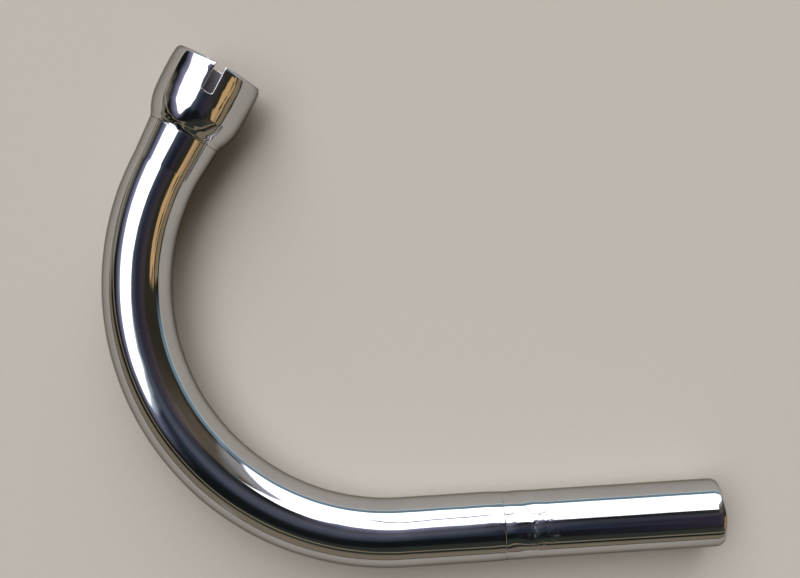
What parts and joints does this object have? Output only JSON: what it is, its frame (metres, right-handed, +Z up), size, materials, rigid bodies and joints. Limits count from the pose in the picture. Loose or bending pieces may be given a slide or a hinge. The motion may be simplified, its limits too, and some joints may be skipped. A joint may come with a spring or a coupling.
{
  "type": "motorcycle exhaust header pipe",
  "caption": "Chromed exhaust header: a slotted clamp-on head socket, one long bend and a straight outlet length for the silencer, welded end to end.",
  "frame": {"origin": "on the floor under the middle of the header as it lies", "axes": "+X along the outlet length, out of its open end; +Z up from the floor the header lies on; +Y towards the head socket"},
  "size_m": [0.3862, 0.3422, 0.0602],
  "materials": {
    "plated_socket": "polished chrome plate on steel",
    "plated_tube": "polished chrome plate on steel",
    "plated_tail": "polished chrome plate on steel"
  },
  "bodies": {
    "root": {"head_socket": "plated_socket", "bend_tube": "plated_tube", "tail_tube": "plated_tail"}
  },
  "joints": []
}
